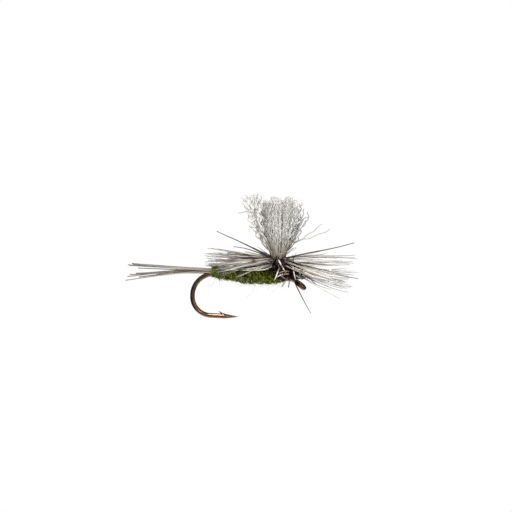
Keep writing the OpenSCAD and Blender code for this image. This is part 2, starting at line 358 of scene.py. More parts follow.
def hackle_barb():
    """Feather barbs: most are pale with a grey foot and tip, and the rest are brown-black."""
    shader = Shader("hackle_barb", roughness=0.36, specular=0.5)
    along, tone = shader.attribute("along"), shader.attribute("tone")
    pale = shader.ramp(
        along, (0.0, (0.12, 0.09, 0.08)), (0.14, (0.52, 0.49, 0.44)), (0.45, (0.57, 0.54, 0.485)),
        (0.7, (0.66, 0.63, 0.58)), (1.0, (0.18, 0.17, 0.16)))
    dark = shader.ramp(
        along, (0.0, (0.010, 0.004, 0.006)), (0.38, (0.022, 0.010, 0.012)),
        (0.65, (0.09, 0.075, 0.072)), (1.0, (0.03, 0.027, 0.027)))
    which = shader.ramp(tone, (0.58, (0, 0, 0)), (0.74, (1, 1, 1)))
    shade = shader.ramp(
        tone, (0.0, (1.3, 1.3, 1.28)), (0.28, (0.86, 0.84, 0.80)), (0.58, (0.40, 0.382, 0.362)))
    bars = shader.ramp(shader.noise(0.9, detail=3), (0.56, (1, 1, 1)), (0.66, (0.34, 0.25, 0.22)))
    pale = shader.blend(1.0, shader.blend(1.0, pale, shade, "MULTIPLY"), bars, "MULTIPLY")
    shader.drive("Base Color", shader.blend(which, pale, dark))
    return shader.material


def web_barb():
    """The webby foot of the feather: brown-black, with paler ends. Its near-black is partly the web's
    own colour and partly painted shade, for the tangle under the post.
    """
    shader = Shader("web_barb", roughness=0.6, specular=0.05)
    # partly painted shade: the web is drawn near black
    along = shader.ramp(
        shader.attribute("along"),
        (0.0, (0.004, 0.002, 0.003)), (0.85, (0.026, 0.006, 0.013)), (1.0, (0.07, 0.045, 0.050)))
    tone = shader.ramp(shader.attribute("tone"), (0.0, (0.3, 0.3, 0.3)), (1.0, (1.3, 1.2, 1.2)))
    shader.drive("Base Color", shader.blend(1.0, along, tone, "MULTIPLY"))
    return shader.material


def tail_barb():
    """Tail fibres: tan-grey, darker at the tip, and each with a shade of its own."""
    shader = Shader("tail_barb", roughness=0.38, specular=0.5)
    along, tone = shader.attribute("along"), shader.attribute("tone")
    base = shader.ramp(
        along, (0.0, (0.21, 0.185, 0.145)), (0.45, (0.24, 0.218, 0.178)), (1.0, (0.15, 0.139, 0.128)))
    shade = shader.ramp(
        tone, (0.0, (0.36, 0.31, 0.28)), (0.35, (0.8, 0.77, 0.74)), (1.0, (1.35, 1.33, 1.3)))
    shader.drive("Base Color", shader.blend(1.0, base, shade, "MULTIPLY"))
    return shader.material


def quill_horn():
    """Horn: brown where it is wound in among the barbs, as painted shade under them, and pale where it
    runs to the head.
    """
    shader = Shader("quill_horn", roughness=0.25, coat=0.3, specular=0.6)
    streaks = shader.noise(14, detail=3)
    horn = shader.ramp(streaks, (0.3, (0.52, 0.50, 0.44)), (0.7, (0.85, 0.84, 0.78)))
    # painted shade: where it is wound among the barbs, the horn is darkened to about a tenth
    wound = shader.ramp(shader.attribute("along"), (0.81, (0.10, 0.075, 0.055)), (0.84, (1, 1, 1)))
    shader.drive("Base Color", shader.blend(1.0, horn, wound, "MULTIPLY"))
    shader.bump(streaks, 0.008, 0.5)
    return shader.material


def clear_cement():
    """Glossy head cement over the dark thread, in lighter and darker clots."""
    shader = Shader("clear_cement", roughness=0.08, coat=0.8)
    clots = shader.noise(6, detail=2)
    colour = shader.ramp(clots, (0.3, (0.045, 0.03, 0.016)), (0.7, (0.17, 0.13, 0.075)))
    shader.drive("Base Color", colour)
    shader.bump(clots, 0.03, 0.6)
    return shader.material


THREAD_TAN = thread("thread_tan", (0.17, 0.15, 0.10), (0.33, 0.30, 0.22))
THREAD_DARK = thread("thread_dark", (0.012, 0.008, 0.005), (0.085, 0.065, 0.04))


# ---------------------------------------------------------------- hook

EYE_TILT = math.radians(36)
# the wire is thinner where it is rolled into the eye
EYE_R = hook_high[1] - 0.8 * WIRE_R
# the wire is drawn a little thicker than in the CAD, and more so at the eye
SKIN_R, EYE_WIRE_R = WIRE_R + 0.022, WIRE_R + 0.01
NECK = np.array([-math.cos(EYE_TILT), 0, math.sin(EYE_TILT)])
ELBOW_R, UPPER_R, LOWER_R = 0.45, 2.3, 1.95
SHANK_FRONT = -SHANK_Z / math.tan(EYE_TILT) - ELBOW_R * math.tan(EYE_TILT / 2)
BEND_X = HEEL_X + UPPER_R
SPEAR_X = HEEL_X + LOWER_R
POINT_X, POINT_LEN = SPEAR_X + 1.5, 1.5
# the wire starts this far from the eye's middle, and the eye is rolled through this many degrees
WIRE_START, ROLLED = 0.42, 352
# the cut barb, from its root in the wire to its tip, seen from where the point begins
CUT_BARB = [(0.25, 0, 0.06), (-0.05, 0, 0.17), (-0.38, 0, 0.33), (-0.69, 0, 0.53)]
WIRE_RINGS, EYE_RINGS, CUT_RINGS = 440, 90, 30


def arc(centre, radius, start, end, count=24):
    """Points of an arc in the hook's plane, with its angles in degrees."""
    angle = np.radians(np.linspace(start, end, count))
    x, z = centre[0] + radius * np.cos(angle), centre[1] + radius * np.sin(angle)
    return np.stack([x, np.zeros(count), z], 1)


def make_hook():
    """The wire from the eye to the needle point, with the rolled eye and the cut barb."""
    wire = resample(np.concatenate([
        [NECK * WIRE_START],
        arc((SHANK_FRONT, SHANK_Z - ELBOW_R), ELBOW_R, 90 - math.degrees(EYE_TILT), 90, 8),
        arc((BEND_X, SHANK_Z - UPPER_R), UPPER_R, 90, 180),
        arc((SPEAR_X, SPEAR_Z + LOWER_R), LOWER_R, 180, 270),
        [(POINT_X, 0, SPEAR_Z), (POINT_X + POINT_LEN, 0, SPEAR_Z)]]), WIRE_RINGS)
    on_spear = (wire[:, 0] > SPEAR_X) & (wire[:, 2] < SPEAR_Z + 0.1)
    to_tip = np.clip((POINT_X + POINT_LEN - wire[:, 0]) / POINT_LEN, 0.07, 1)
    radii = SKIN_R * np.where(on_spear, to_tip ** 0.85, 1)
    radii *= 0.86 + 0.14 * smoothstep(np.linalg.norm(wire, axis=1), 0.5, 1.2)
    turn = np.radians(np.linspace(0, ROLLED, EYE_RINGS))
    across = np.array([0, 1.0, 0])
    eye = EYE_R * (np.cos(turn)[:, None] * NECK + np.sin(turn)[:, None] * across)
    eye_radii = EYE_WIRE_R * (1 - 0.22 * smoothstep(turn, 4.2, 6.2))
    barb = np.array([POINT_X, 0, SPEAR_Z]) + curve(CUT_BARB, CUT_RINGS)
    barb_radii = 0.15 * (1 - np.linspace(0, 1, CUT_RINGS)) ** 0.7 + 0.012
    tubes = [(wire, radii, 20, 1.0), (eye, eye_radii, 18, 1.0), (barb, barb_radii, 12, 0.8)]
    return fused("hook_wire", tubes, voxel=0.024, smooth_steps=4)


piece("hook_wire", make_hook(), bronze_wire(), "hook_steel", "hook")


# ---------------------------------------------------------------- dubbed body

BODY_NOSE = HEAD_X0 + 0.1
BODY_Z = (body_low[2] + body_high[2]) / 2
BODY_R = (body_high[2] - body_low[2]) / 2
TURN_LEN = 0.88
# the body's radius at a few places: slim over the tail's butts, then full, then down to the head
BODY_PLACES = [0, 0.1, 0.3, 0.42, 0.65, 0.82, 0.92, 1]
BODY_SHARES = [0.45, 0.65, 0.78, 1, 0.96, 0.88, 0.72, 0.35]


def body_radius(x):
    """Radius of the dubbing at place x, before its turns and lumps."""
    return BODY_R * np.interp((x - BODY_REAR) / (BODY_NOSE - BODY_REAR), BODY_PLACES, BODY_SHARES)


def body_surface(x, theta):
    """Point and outward direction on the wound dubbing at place x and angle theta."""
    helix = theta / (2 * np.pi) - x / TURN_LEN
    lump = np.abs(np.sin(np.pi * helix)) ** 0.7
    r = body_radius(x) * (0.88 + 0.12 * lump)
    out = np.stack([np.zeros_like(x), np.cos(theta), np.sin(theta)], -1)
    centre = np.stack([x, np.zeros_like(x), np.full_like(x, BODY_Z)], -1)
    return centre + r[..., None] * out, out


def make_body_core(name, x0, x1):
    """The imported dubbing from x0 to x1, roughened, and closed at both ends."""
    columns, rows = int((x1 - x0) * 22), 90
    along = np.linspace(x0, x1, columns)
    x, theta = np.meshgrid(along, 2 * np.pi * np.arange(rows) / rows, indexing="ij")
    point, out = body_surface(x.ravel(), theta.ravel())
    rough = np.array([noise.fractal(Vector(p * 2.6), 0.6, 2.1, 4) for p in point])
    point += out * (0.14 * rough - 0.06)[:, None]
    index = np.arange(columns * rows).reshape(columns, rows)
    walls = np.stack([index[:-1], np.roll(index, -1, 1)[:-1], np.roll(index, -1, 1)[1:], index[1:]], -1)
    caps = np.stack([index[0, ::-1], index[-1]])
    return write_mesh(name, point, [walls.reshape(-1, 4), caps])


def make_fur(name, x0, x1, count, length, lift, radius, wind, rear):
    """Hairs wound with the body that lift off it by lift mm. rear lets them stand past its end."""
    rings = 7
    s = np.linspace(0, 1, rings)
    weight = rng.random((count, 1))
    x_start = x0 + (x1 - x0) * rng.random((count, 1))
    theta = 2 * np.pi * rng.random((count, 1))
    angle = rng.normal(0, 1 - wind, (count, 1)) + np.where(rng.random((count, 1)) < 0.5, 0, np.pi)
    reach = length * (0.5 + rng.random((count, 1)))
    x = np.clip(x_start + reach * s * np.sin(angle), x0 - rear, x1)
    theta = theta + reach * s * np.cos(angle) / body_radius(x_start)
    point, out = body_surface(x.ravel(), theta.ravel())
    point, out = point.reshape(count, rings, 3), out.reshape(count, rings, 3)
    loft = lift * (weight**2 * s**1.5 * 2 + 0.35 * np.sin(np.pi * s)) - 0.02
    curl = rng.normal(0, 0.07, (count, 1, 3)) * np.sin(2.4 * np.pi * s + 6 * weight)[..., None]
    path = point + out * loft[..., None] + curl * s[None, :, None]
    radii = radius * (1 - 0.6 * s)[None] * (0.7 + 0.6 * rng.random((count, 1)))
    return strands(name, path, radii, sides=3)


OLIVE_FUR = dubbing("olive_fur", (0.012, 0.018, 0.0005), (0.135, 0.180, 0.003), (0.33, 0.39, 0.016))
PALE_FUR = dubbing("pale_fur", (0.30, 0.31, 0.28), (0.45, 0.46, 0.43), (0.65, 0.65, 0.62))
SHADED_CORE = shaded_dubbing_core()
for name, x0, x1, node in (
        ("abdomen_core", BODY_REAR, BODY_SPLIT, "dubbed_abdomen"),
        ("thorax_core", BODY_SPLIT, BODY_NOSE, "dubbed_thorax")):
    piece(name, make_body_core(name, x0, x1), SHADED_CORE, "dubbing", node)
# wind runs from 0, for hairs that lie every way, to 1, for hairs that all lie with the turns
for name, x0, x1, count, length, lift, radius, wind, rear, material in (
        ("abdomen_fur", BODY_REAR, BODY_SPLIT, 6400, 0.55, 0.13, 0.022, 0.45, 0.08, OLIVE_FUR),
        ("thorax_fur", BODY_SPLIT, BODY_NOSE, 1500, 0.45, 0.12, 0.022, 0.45, 0.0, OLIVE_FUR),
        ("stray_fur", BODY_REAR, BODY_NOSE, 700, 0.8, 0.26, 0.012, 0.1, 0.2, OLIVE_FUR),
        ("pale_wisps", BODY_REAR, BODY_NOSE, 130, 1.5, 0.85, 0.011, 0.1, 0.3, PALE_FUR)):
    piece(name, make_fur(name, x0, x1, count, length, lift, radius, wind, rear), material, "dubbing")


# ---------------------------------------------------------------- thread and tail on the shank

# points to a turn of a coil round the post, and of one round the shank
POST_TURN_STEPS, SHANK_TURN_STEPS = 20, 18


def winding(x, z0, z1, radius, pitch):
    """A coil round an upright axis at x. radius is a function of the height."""
    turns = (z1 - z0) / pitch
    angle = np.linspace(0, 2 * np.pi * turns, int(turns * POST_TURN_STEPS))
    z = np.linspace(z0, z1, len(angle))
    r = radius(z)
    return np.stack([x + r * np.cos(angle), r * np.sin(angle), z], 1)


def shank_winding(x0, x1, radius, pitch):
    """A coil round the shank. radius is a number or one number for each end."""
    turns = (x1 - x0) / pitch
    angle = np.linspace(0, 2 * np.pi * turns, int(turns * SHANK_TURN_STEPS))
    x = np.linspace(x0, x1, len(angle))
    r = np.interp(x, [x0, x1], np.broadcast_to(radius, 2))
    return np.stack([x, r * np.cos(angle), SHANK_Z + r * np.sin(angle)], 1)


def single(name, path, radius, sides, tone=0.5):
    """One tube as a mesh of its own."""
    path = np.asarray(path)[None]
    return strands(name, path, np.broadcast_to(radius, path.shape[:2]), sides, tone=[tone])


# the wraps that can be seen are a little thicker than those inside
THREAD_R, OUTER_THREAD_R = 0.04, 0.042
for name, node, radius, pitch in (
        ("shank_thread", "thread_base", (base_high[2] - base_low[2]) / 2 - THREAD_R, 0.078),
        ("tail_binding", "tail_tie_wraps", 0.42, 0.12),
        ("wing_binding", "wing_tie_wraps", 0.45, 0.12)):
    low, high = box_mm(node)
    mesh = single(name, shank_winding(low[0], high[0], radius, pitch), THREAD_R, 6)
    piece(name, mesh, THREAD_TAN, "tying_thread", node)

TAIL = tail_barb()
TAIL_FIBRES = [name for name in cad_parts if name.startswith("tail_fibre_")]
# the butts stand this much further apart than in the CAD, and lie this much lower in the dubbing
TAIL_LOFT, TAIL_SINK = 1.2, 0.2
TAIL_BARB_R, TAIL_RINGS = 0.080, 40


def fibre_ends(node):
    """The middle of a packed tail fibre at its tip and at its butt."""
    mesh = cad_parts[node].data
    points = np.empty(3 * len(mesh.vertices))
    mesh.vertices.foreach_get("co", points)
    points = points.reshape(-1, 3) / MM
    rings = [points[np.abs(points[:, 0] - x) < 0.02] for x in (points[:, 0].min(), points[:, 0].max())]
    return [(ring.min(0) + ring.max(0)) / 2 for ring in rings]


def make_tail():
    """Each fibre from inside the body to a point near its packed tip, level at first."""
    ends = {node: fibre_ends(node) for node in TAIL_FIBRES}
    middle = np.mean([butt for tip, butt in ends.values()], axis=0)
    for node in sorted(ends, key=lambda node: int(node.rsplit("_", 1)[1])):
        tip, butt = ends[node]
        tip = tip + (0.9 * rng.random() ** 2, 0, rng.normal(-0.06, 0.22))
        root = middle + TAIL_LOFT * (butt - middle)
        root[0] = BODY_REAR + 0.5
        root[2] -= TAIL_SINK
        drop, sag = tip - root, np.array([0, 0, rng.normal(0, 0.05)])
        path = curve([
            root, root + drop * (0.3, 0.12, 0.08) + sag, root + drop * (0.6, 0.5, 0.40) + sag, tip],
            TAIL_RINGS)
        radius = TAIL_BARB_R * (1 - 0.38 * np.linspace(0, 1, TAIL_RINGS)) * (0.85 + 0.3 * rng.random())
        name = node.replace("fibre", "barb")
        piece(name, single(name, path, radius, 6, tone=rng.random()), TAIL, "tail_fibre", node)


make_tail()


# ---------------------------------------------------------------- wing post

WING_FOOT = POST_Z1 - 0.25
WING_RISE = WING_TOP - WING_FOOT
# half widths of the dense yarn where it is widest
HALF_X, HALF_Y = 1.22, 1.20
# each filament has a short crimp and a slower wander, with these wave lengths
CRIMP_WAVE, WANDER_WAVE = 0.95, 2.6
YARN_RINGS, LOOSE_RINGS = 52, 56


def core_spread(height):
    """Half width of the dense yarn, as a share of its widest, at height from 0 to 1."""
    return 0.62 + 0.38 * np.sin(np.pi / 2 * np.clip(height / 0.46, 0, 1))


def crimp(z, size, wave):
    """Sideways wander of crimped filaments at heights z: a regular wave with a random start."""
    count = len(z)
    start = 2 * np.pi * rng.random((count, 2, 1))
    beat = 2 * np.pi * z / (wave * (0.8 + 0.4 * rng.random((count, 1))))
    size = size * (0.5 + rng.random((count, 1)))
    return size * np.sin(beat + start[:, 0]), size * np.sin(beat + start[:, 1])


def yarn_clumps(places, reach, top, size, filaments, apart, leave=1.1):
    """Clumps of filaments, each bent out of the core by reach mm.

    places gives u and v for each clump, from -1 to 1 across the core, and its bundle's middle:
    the clumps of one bundle gather towards it as they rise. With leave below 1 they bend out early.
    """
    s = np.linspace(0, 1, YARN_RINGS)[None]
    foot = WING_FOOT - 0.35 * rng.random((len(top), 1))
    z = foot + (top[:, None] - foot) * s
    height = (z - WING_FOOT) / WING_RISE
    spread = core_spread(height)
    gather = 0.75 * smoothstep(height, 0.40, 1.0)
    u, v, middle_u, middle_v = (values[:, None] for values in places)
    u, v = u + gather * (middle_u - u), v + gather * (middle_v - v)
    bend = np.clip((height - 0.06) / 0.85, 0, None) ** leave
    wave_x, wave_y = crimp(z, size, CRIMP_WAVE)
    slow_x, slow_y = crimp(z, 0.7 * size, WANDER_WAVE)
    grow = smoothstep(height, 0.04, 0.30)
    x = POST_X - 0.12 * smoothstep(height, 0, 0.5) + HALF_X * u * spread + reach[:, None] * bend
    y = HALF_Y * v * spread + 0.5 * v * bend
    path = np.stack([x + grow * (wave_x + slow_x), y + grow * (wave_y + slow_y), z], 2)
    path = np.repeat(path, filaments, axis=0)
    offset = rng.normal(0, apart, (len(path), 1, 3)) * (0.4 + s[0])[None, :, None]
    drift = np.cumsum(rng.normal(0, 0.3 * apart, path.shape) * (1, 1, 0.2), axis=1)
    return path + offset + drift * grow.repeat(filaments, axis=0)[..., None]


def disc(count):
    """Random places spread evenly over a disc of radius 1."""
    angle, r = 2 * np.pi * rng.random(count), np.sqrt(rng.random(count))
    return r * np.cos(angle), r * np.sin(angle)


def make_yarn(name, paths, thick):
    """Filaments that taper a little, and whose thickness varies."""
    s = np.linspace(0, 1, paths.shape[1])
    radii = (thick * (1 - 0.3 * s))[None] * (0.75 + 0.5 * rng.random((len(paths), 1)))
    return strands(name, paths, radii, sides=3)


def wing_bundle(number):
    """One of the bundles that the dense yarn parts into towards its top."""
    turn, r = math.radians(150 + GOLDEN_ANGLE * number), math.sqrt((number + 0.5) / BUNDLES)
    middle_u, middle_v = 0.8 * r * math.cos(turn), 0.8 * r * math.sin(turn)
    du, dv = disc(BUNDLE_CLUMPS)
    u, v = middle_u + 0.40 * du, middle_v + 0.40 * dv
    top = WING_TOP - 0.05 - 1.0 * rng.random() - 0.6 * rng.random(BUNDLE_CLUMPS) ** 1.5
    places = (u, v, np.full(BUNDLE_CLUMPS, 1.2 * middle_u), np.full(BUNDLE_CLUMPS, 1.2 * middle_v))
    return yarn_clumps(places, 0.5 * u, top, 0.045, 5, 0.04)


def wing_lobe(count, side, near, far, top, ragged):
    """An open lobe of strands that leave the core on one side: -1 behind it, 1 in front of it."""
    share = (np.arange(count) + rng.random(count)) / count
    u, v = side * (0.75 + 0.25 * rng.random(count)), rng.uniform(-0.8, 0.8, count)
    reach = side * (near + (far - near) * share)
    top = top - ragged * share * rng.random(count)
    return yarn_clumps((u, v, u, v), reach, top, 0.10, 3, 0.014, leave=0.75)


# single filaments that have strayed out of the yarn: the side they leave it on, the height there
# as a share of the wing's, the angle they rise at, their length, and the lift of their end
LOOSE_ENDS = [
    (1, 0.12, 36, 4.2, 0.2), (1, 0.22, 14, 4.4, 0.6), (1, 0.25, 52, 3.0, 0.0), (1, 0.40, 48, 2.6, -0.2),
    (-1, 0.65, 10, 3.2, -0.4), (-1, 0.32, 25, 2.2, 0.0), (-1, 0.12, 55, 3.0, 0.3)]


def loose_ends():
    """The paths of LOOSE_ENDS, each from the core's edge, with a crimp of its own."""
    s = np.linspace(0, 1, LOOSE_RINGS)
    paths = []
    for side, height, rise, length, lift in LOOSE_ENDS:
        rise = math.radians(rise)
        x = POST_X + side * HALF_X * core_spread(height) + side * length * math.cos(rise) * s
        z = WING_FOOT + WING_RISE * height + length * math.sin(rise) * s + lift * s**3
        paths.append(np.stack([x, np.full(LOOSE_RINGS, -0.3), z], 1))
    along = np.linspace(0, 4, LOOSE_RINGS)[None].repeat(len(paths), 0)
    wave_x, wave_z = crimp(along, 0.06, 1.5)
    return np.array(paths) + np.stack([wave_x, np.zeros_like(wave_x), wave_z], 2)


YARN = yarn("poly_yarn", 0.88)
# the loose yarn is the poly yarn with more painted shade, so its strands are drawn darker
SHADED_LOOSE_YARN = yarn("shaded_loose_yarn", 0.5)
BUNDLES, BUNDLE_CLUMPS = 9, 32
# in degrees: bundles this far round from each other fill the core evenly, as seeds do a sunflower
GOLDEN_ANGLE = 137.5
for number in range(BUNDLES):
    name = f"wing_bundle_{number + 1}"
    piece(name, make_yarn(name, wing_bundle(number), 0.032), YARN, "wing_yarn", "wing_post_yarn")
for name, paths, thick, material in (
        ("wing_rear_lobe", wing_lobe(15, -1, 0.8, 2.7, WING_TOP, 0.8), 0.044, YARN),
        ("wing_front_lobe", wing_lobe(9, 1, 0.3, 1.1, WING_TOP - 0.4, 0.6), 0.040, YARN),
        ("wing_front_strands", wing_lobe(8, 1, 0.8, 2.4, WING_TOP - 0.9, 2.4), 0.040, SHADED_LOOSE_YARN),
        ("wing_loose_ends", loose_ends(), 0.058, SHADED_LOOSE_YARN)):
    piece(name, make_yarn(name, paths, thick), material, "wing_yarn")


# ---------------------------------------------------------------- post foot, quill and hackle

QUILL_Z0, QUILL_PITCH, QUILL_TURNS = POST_Z0 + 0.09, 0.13, 5
QUILL_Z1 = QUILL_Z0 + QUILL_PITCH * QUILL_TURNS
QUILL_COIL_R = POST_R + 0.055
COIL_RINGS, TIE_OFF_RINGS = 210, 50


def post_radius(z):
    """The wraps are straight under the hackle and open out with the yarn above it."""
    return POST_R - 0.04 + 0.14 * smoothstep(z, QUILL_Z1 - 0.1, POST_Z1 + 0.1)


def make_post_winding():
    """The thread wound up the foot of the post, from just inside the dubbing."""
    path = winding(POST_X, POST_Z0 - 0.1, POST_Z1, post_radius, 0.075)
    return single("post_winding", path, OUTER_THREAD_R, 6)


piece("post_winding", make_post_winding(), THREAD_TAN, "tying_thread", "post_base_wraps")


def make_quill():
    """The quill wound up the post, and its tip drawn down to the head on the near side."""
    coil = winding(POST_X, QUILL_Z0, QUILL_Z1, lambda z: np.full_like(z, QUILL_COIL_R), QUILL_PITCH)
    start, end = coil[-1], np.array([HEAD_X0 + 0.1, -0.15, SHANK_Z + 0.45])
    near_side = np.array([0, -0.65, 0])
    tie_off = curve([
        start, start + 0.12 * (end - start) + near_side, start + 0.5 * (end - start) + 1.15 * near_side,
        start + 0.85 * (end - start) + 0.5 * near_side, end], TIE_OFF_RINGS + 1)
    path = np.concatenate([resample(coil, COIL_RINGS), tie_off[1:]])
    return single("quill_coil", path, np.linspace(0.065, 0.053, len(path)), 8)


piece("quill_coil", make_quill(), quill_horn(), "quill", "hackle_quill")

BARB = hackle_barb()


def barb_paths(azimuth, elevation, length, z, swirl, cup, rings=12):
    """Curved barbs that leave the quill at height z and at azimuth: 0 forwards, 90 away from camera.

    Angles are in degrees. swirl turns a barb sideways towards its tip, and cup lifts its tip.
    """
    s = np.linspace(0, 1, rings)[None]
    az = np.radians(azimuth)[:, None] + np.radians(swirl)[:, None] * s**1.5
    el = np.radians(elevation)[:, None]
    run = QUILL_COIL_R + 0.05 + length[:, None] * s * np.cos(el)
    rise = z[:, None] + length[:, None] * s * np.sin(el) + cup[:, None] * s**2
    rise = rise + 0.07 * s * np.sin(6 * s + 3 * azimuth[:, None])
    return np.stack([POST_X + run * np.cos(az), run * np.sin(az), rise], 2)


def barb_strands(name, paths, tone, thick, taper=0.68):
    """Barbs of radius thick at the foot, which lose the share taper of it by the tip."""
    s = np.linspace(0, 1, paths.shape[1])
    radii = thick * (1 - taper * s**1.3)[None] * (0.75 + 0.5 * rng.random((len(paths), 1)))
    return strands(name, paths, radii, sides=5, tone=np.clip(tone, 0, 1))


# degrees by which barbs crowd towards the line of the hook, and from the front to the rear
CROWDING, REARWARD = 15, 11
BARB_LEN, BARB_R = 7.6, 0.062
# barbs that head for the camera by more than the first share are trimmed to the second
TRIM_FROM, TRIM_SHARE = 0.86, 0.22
# steps of this share of a full turn never line up, so they space the clumps out evenly
GOLDEN_SHARE = 0.618034
# rings of a barb that lies apart from the rest, where its curve shows
LONG_RINGS = 24


def make_barbs(turn, clumps, per_clump):
    """Barbs of one turn, in clumps that lie together. More lie along the hook than across it."""
    level = (turn - 1) / (QUILL_TURNS - 1) * 2 - 1
    evenly = 360 * ((np.arange(clumps) + clumps * turn) * GOLDEN_SHARE % 1)
    crowded = evenly - CROWDING * np.sin(np.radians(2 * evenly))
    azimuth = crowded + REARWARD * np.sin(np.radians(evenly))
    azimuth = (azimuth + rng.normal(0, 2, clumps)) % 360
    forward, side = np.cos(np.radians(azimuth)), np.sin(np.radians(azimuth))
    to_front, to_rear = np.maximum(forward, 0), np.maximum(-forward, 0)
    elevation = 4 * level + rng.normal(0, 1.8, clumps) - np.maximum(side, 0) * (5.5 + 5 * to_rear)
    elevation -= (32 * rng.random(clumps) ** 1.1 - 4) * to_front + 14 * np.maximum(-side, 0) * to_rear
    cup = rng.normal(0, 0.25, clumps) - 0.055 * elevation * to_front
    tone = 0.02 + (0.74 - 0.06 * to_front) * rng.random(clumps)
    # the trimmed ones are dark
    trimmed = side < -TRIM_FROM
    tone = np.where(trimmed, 0.9, tone)
    count = clumps * per_clump

    def spread(values, apart):
        return np.repeat(values, per_clump) + rng.normal(0, apart, count)

    azimuth = spread(azimuth, 1.3)
    length = BARB_LEN * (1 - 0.36 * rng.random(count) ** 1.5)
    length *= np.repeat(1 - 0.08 * (forward < 0), per_clump)
    length *= np.where(np.repeat(trimmed, per_clump), TRIM_SHARE, 1)
    length *= np.repeat(1 - 0.004 * np.minimum(elevation, 0) * to_front, per_clump)
    thick = BARB_R * (1 - 0.2 * np.repeat(to_front, per_clump))[:, None]
    z = QUILL_Z0 + QUILL_PITCH * (turn - 1 + (azimuth % 360) / 360)
    swirl = spread(rng.normal(3, 4, clumps), 1.5)
    paths = barb_paths(azimuth, spread(elevation, 0.8), length, z, swirl, spread(cup, 0.1))
    return barb_strands(f"barbs_of_turn_{turn}", paths, spread(tone, 0.24), thick)


for turn in range(1, QUILL_TURNS + 1):
    barbs = make_barbs(turn, clumps=15, per_clump=3)
    piece(f"barbs_of_turn_{turn}", barbs, BARB, "hackle", f"hackle_barbs_turn_{turn}")


# barbs that have sprung away from the rest: azimuth, elevation, length and the lift of the tip
SPRUNG_BARBS = [(184, 24, 6.3, 0.0), (190, 20, 4.2, -0.35), (-4, 15, 7.3, 0.1), (-20, -34, 4.4, 0.0)]
SPRUNG_TONES = [0.8, 0.72, 0.72, 0.9]
# one tone for each draped barb, from the highest to the lowest
DRAPED_TONES = [0, 0.3, 0.8, 0.1, 0, 0.75, 0.1, 0.8, 0.9, 0, 0.2, 0.8, 0]
DRAPED_COUNT = len(DRAPED_TONES)


def sprung_barbs():
    """The paths of SPRUNG_BARBS, which all leave the top of the quill."""
    azimuth, elevation, length, lift = np.array(SPRUNG_BARBS, float).T
    top, swirl = np.full(len(azimuth), QUILL_Z1), np.zeros(len(azimuth))
    return barb_paths(azimuth, elevation, length, top, swirl, lift, LONG_RINGS)


def draped_barbs():
    """Pale barbs of the near side, swept back along the body. The lower ones are the shorter."""
    low = np.linspace(0, 1, DRAPED_COUNT)
    sag = rng.normal(0, 1.5, DRAPED_COUNT)
    azimuth, swirl = 200 + 40 * low, -14 - 26 * low
    elevation, length = -8 - 18 * low + sag, 6.3 - 2.8 * low
    foot = np.full(DRAPED_COUNT, QUILL_Z0)
    return barb_paths(azimuth, elevation, length, foot, swirl, 0.4 + 0.8 * low, LONG_RINGS)


def bowed(start, azimuth, elevation, length, lift):
    """Barbs from the points start, each with its own direction, length and lift of its tip."""
    s = np.linspace(0, 1, LONG_RINGS)[None, :, None]
    az, el = np.radians(azimuth), np.radians(elevation)
    heading = np.stack([np.cos(el) * np.cos(az), np.cos(el) * np.sin(az), np.sin(el)], -1)
    path = np.asarray(start)[:, None] + heading[:, None] * np.asarray(length)[:, None, None] * s
    path[..., 2] += np.asarray(lift)[:, None] * s[..., 0]**2
    return path


# stubs left where barbs were trimmed: how far in front of the post's axis and below its wraps each
# starts, its direction (0 forwards, 90 up), its length and the lift of its end
CUT_STUBS = [
    (0.3, 0.0, 252, 1.6, 0.1), (1.3, 0.45, 165, 1.1, -0.5), (1.3, 0.7, 175, 1.3, -0.5),
    (1.6, -0.2, 284, 1.5, 0.0), (1.2, 1.0, 240, 1.2, 0.0), (1.4, 1.2, 262, 0.9, 0.0),
    (0.5, 0.9, 320, 0.6, 0.1), (2.0, 0.8, 330, 0.7, 0.0), (0.1, -0.8, 302, 1.6, 0.0)]
STUB_TONES = [0, 0.1, 0.1, 0, 0.5, 0.5, 0.3, 0.5, 0]


def cut_stubs():
    """The paths of CUT_STUBS, in front of the web as the camera sees it."""
    ahead, below, direction, length, lift = np.array(CUT_STUBS, float).T
    start = np.stack([POST_X + ahead, -1.85 + 0.15 * ahead, POST_Z0 - below], 1)
    return bowed(start, np.zeros(len(ahead)), direction, length, lift)


def whisker():
    """One long fine barb that hangs from under the head."""
    return bowed([(HEAD_X0 + 0.9, -0.3, SHANK_Z - 0.4)], [0], [-63], [4.0], [0.4])


WEB_COUNT = 480


def make_web():
    """Short dark barbs of the feather's webby foot, tangled under the post and over the head. Their
    dark colour is partly the web's own and partly painted shade in the gaps there.
    """
    share = rng.random(WEB_COUNT)
    start = np.stack([
        POST_X - 0.5 + (HEAD_X1 - POST_X + 1.1) * share, rng.uniform(-1.35, -0.55, WEB_COUNT),
        POST_Z0 - 0.15 - 0.7 * share + rng.normal(0, 0.32, WEB_COUNT)], 1)
    heading = unit(rng.normal((0.8, -0.1, -0.2), (0.6, 0.3, 0.45), (WEB_COUNT, 3)))
    length = 0.4 + 1.7 * rng.random(WEB_COUNT) ** 1.8
    s = np.linspace(0, 1, 10)[None, :, None]
    bend = rng.normal(0, 0.22, (WEB_COUNT, 1, 3))
    path = start[:, None] + heading[:, None] * length[:, None, None] * s + bend * s**2
    # none of them hangs below the head, and those in front of it stay clear of the eye
    lowest = SHANK_Z - 0.25 + 0.25 * rng.random((WEB_COUNT, 1)) + 0.4 * share[:, None] ** 2
    path[..., 2] = np.maximum(path[..., 2], lowest + 0.1 * s[..., 0])
    return path


